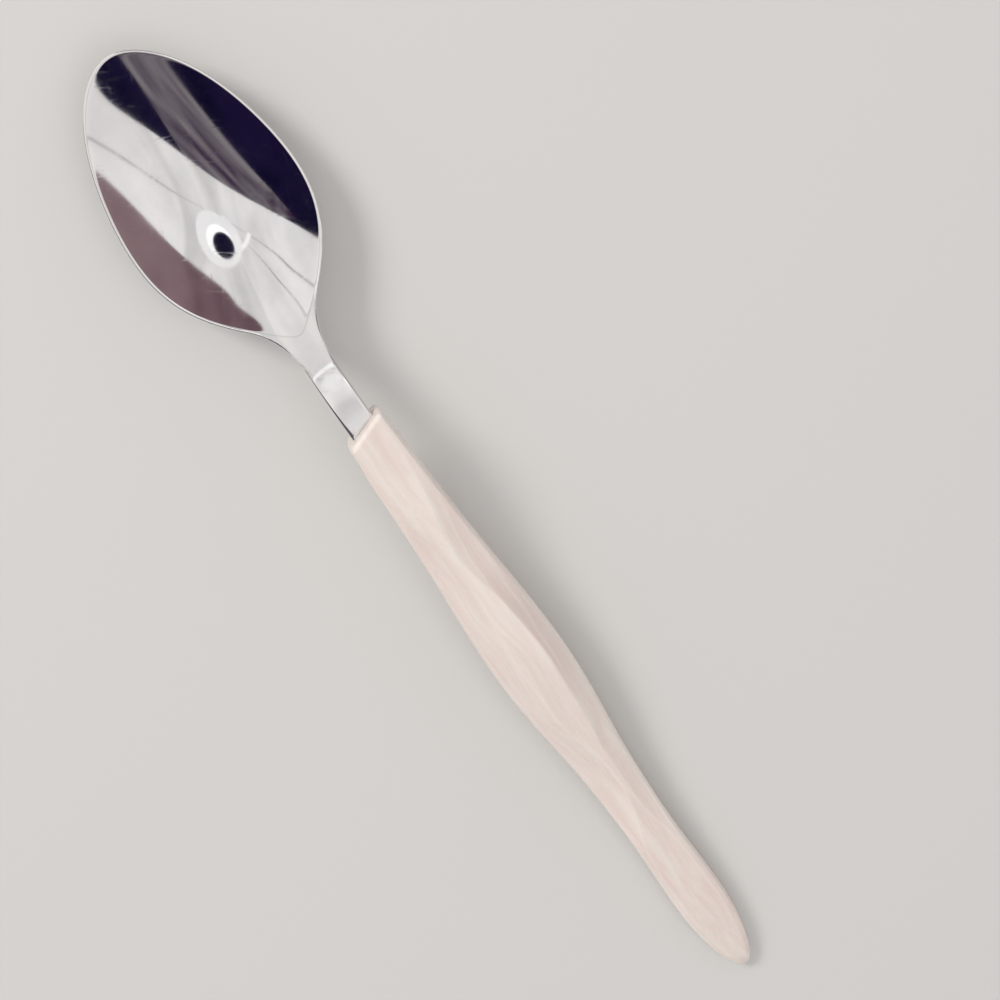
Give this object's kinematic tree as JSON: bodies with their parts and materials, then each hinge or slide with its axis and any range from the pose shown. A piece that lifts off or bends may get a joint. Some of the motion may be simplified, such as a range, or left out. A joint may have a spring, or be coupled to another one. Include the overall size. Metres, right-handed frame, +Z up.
{
  "type": "spoon",
  "caption": "Small table spoon: a stamped steel egg-shaped bowl and flat neck, held by a hidden tang in a contoured, faceted pearly plastic handle.",
  "frame": {"origin": "on the table, under the middle of the spoon's length and width", "axes": "+X runs from the bowl's tip to the handle's end, +Z is up with the bowl open upwards, +Y is to the left as seen from the bowl's tip looking to the handle"},
  "size_m": [0.18, 0.0296, 0.0165],
  "materials": {
    "polished_steel": "mirror-polished stainless steel with fine use scratches",
    "pearl_plastic": "streaky pearly cream-pink moulded plastic, satin gloss",
    "cement": "matt cured resin"
  },
  "bodies": {
    "root": {"bowl_and_tang": "polished_steel", "handle": "pearl_plastic", "socket_cement": "cement"}
  },
  "joints": []
}
